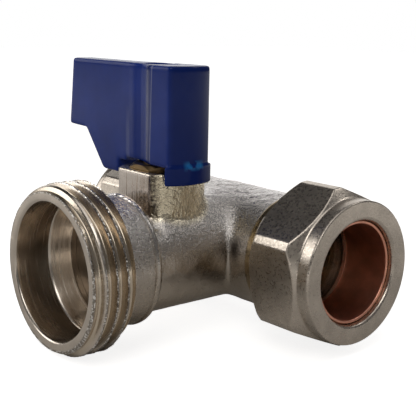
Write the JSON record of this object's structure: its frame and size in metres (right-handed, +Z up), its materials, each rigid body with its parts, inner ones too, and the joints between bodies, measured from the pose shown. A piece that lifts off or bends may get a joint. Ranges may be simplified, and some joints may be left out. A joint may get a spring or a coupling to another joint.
{
  "type": "tee valve",
  "caption": "Plated tee valve: compression run through, ball valve with a lever on the branch, and a male threaded outlet for a hose nut.",
  "frame": {"origin": "where the run's axis meets the outlet's axis", "axes": "+X along the run towards the right nut, -Y out of the threaded outlet, +Z up the stem to the lever"},
  "size_m": [0.0574, 0.0492, 0.0435],
  "materials": {
    "plated_casting": "nickel plated, rough cast with machined faces",
    "plated_nut": "nickel plated, machined",
    "copper": "bare copper",
    "bare_brass": "bare machined brass",
    "ball_plating": "hard plated and polished",
    "white_seal": "smooth sealing plastic",
    "black_rubber": "matt",
    "blue_lever": "moulded, satin to glossy",
    "zinc_steel": "zinc plated"
  },
  "bodies": {
    "valve": {"valve_body": "plated_casting", "inlet_seat": "white_seal", "outlet_seat": "white_seal", "seat_retainer": "bare_brass", "thrust_washer": "white_seal", "gland_packing": "white_seal", "gland_nut": "bare_brass"},
    "lever": {"lever_handle": "blue_lever", "lever_washer": "zinc_steel", "lever_screw": "zinc_steel", "stem": "bare_brass", "stem_o_ring": "black_rubber", "ball": "ball_plating"},
    "right_ring": {"right_olive": "copper"},
    "right_cap": {"right_nut": "plated_nut"},
    "left_ring": {"left_olive": "copper"},
    "left_cap": {"left_nut": "plated_nut"}
  },
  "joints": [
    {"name": "lever_turn", "type": "hinge", "parent": "valve", "child": "lever", "pos_m": [0, -0.0162, 0], "axis": [0, 0, -1], "range_deg": [0, 90]},
    {"name": "right_olive_slide", "type": "slide", "parent": "valve", "child": "right_ring", "axis": [1, 0, 0], "range_m": [0, 0.00545]},
    {"name": "right_nut_turn", "type": "hinge", "parent": "right_ring", "child": "right_cap", "pos_m": [0, 0, 0], "axis": [1, 0, 0], "range_deg": [0, 1080]},
    {"name": "left_olive_slide", "type": "slide", "parent": "valve", "child": "left_ring", "axis": [-1, 0, 0], "range_m": [0, 0.0041]},
    {"name": "left_nut_turn", "type": "hinge", "parent": "left_ring", "child": "left_cap", "pos_m": [0, 0, 0], "axis": [-1, 0, 0], "range_deg": [0, 810]}
  ],
  "couplings": [
    {"joint": "right_olive_slide", "follows": "right_nut_turn", "m_per_rad": 0.00028875},
    {"joint": "left_olive_slide", "follows": "left_nut_turn", "m_per_rad": 0.00028875}
  ]
}
